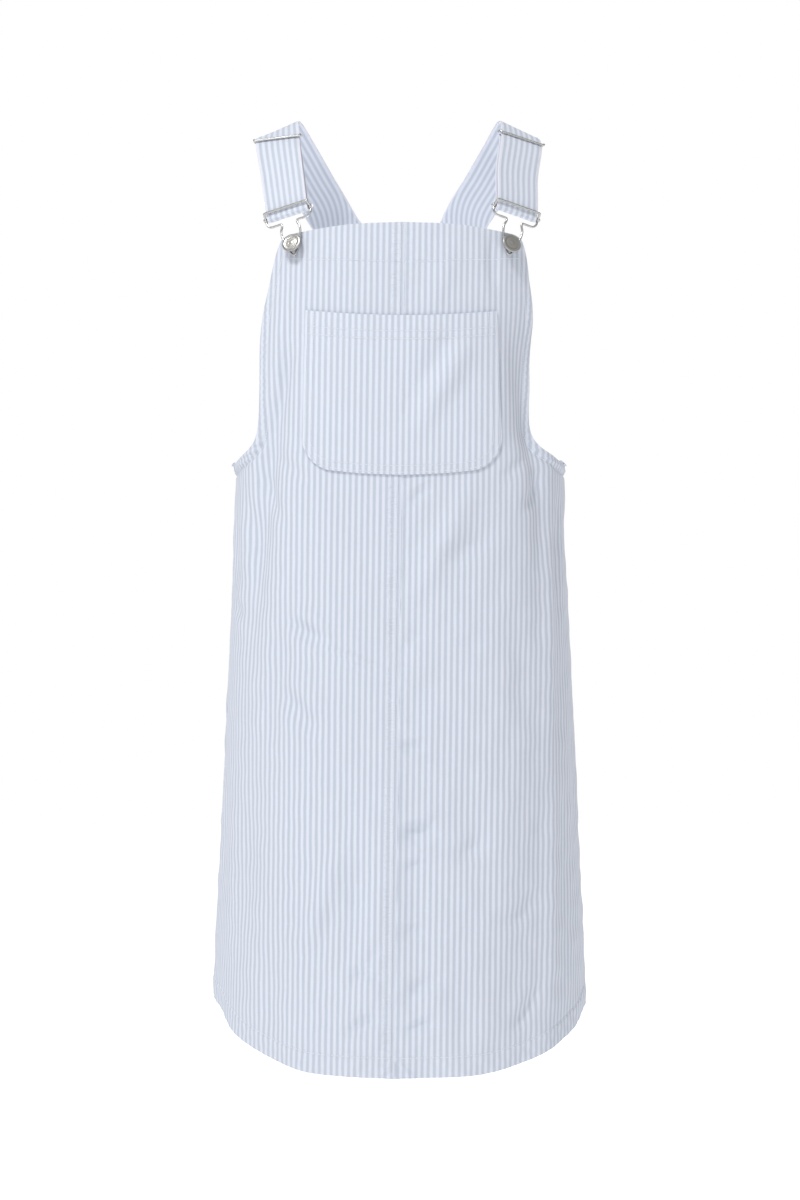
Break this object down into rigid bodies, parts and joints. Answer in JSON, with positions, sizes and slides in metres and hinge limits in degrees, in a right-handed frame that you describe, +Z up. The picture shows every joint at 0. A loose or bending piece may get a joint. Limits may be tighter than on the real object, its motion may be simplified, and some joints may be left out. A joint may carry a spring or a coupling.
{
  "type": "overall dress",
  "caption": "Bib-front overall dress in fine vertical stripes, with a patch pocket, a shirt-tail hem, and shoulder straps held by slide rings and buckles that hook over bib buttons.",
  "frame": {"origin": "midway between the two shoulder straps at the top of the shoulders, on the level of their undersides", "axes": "+Z up, -Y to the front of the dress, +X to the right as seen from the front"},
  "size_m": [0.363, 0.2888, 0.9245],
  "materials": {
    "striped_cotton": "matt woven cotton with pale blue and white vertical stripes",
    "strap_cotton": "the same striped cotton, doubled, with its stripes along the strap",
    "nickel_wire": "bright nickel-plated wire",
    "brushed_cap": "brushed metal cap with turned rings"
  },
  "bodies": {
    "root": {"front_left": "striped_cotton", "front_right": "striped_cotton", "back": "striped_cotton", "bib_pocket": "striped_cotton", "strap_left": "strap_cotton", "strap_right": "strap_cotton", "buckle_left": "nickel_wire", "buckle_right": "nickel_wire", "slider_left": "nickel_wire", "slider_right": "nickel_wire", "button_left": "brushed_cap", "button_right": "brushed_cap", "tack_left": "brushed_cap", "tack_right": "brushed_cap"}
  },
  "joints": []
}
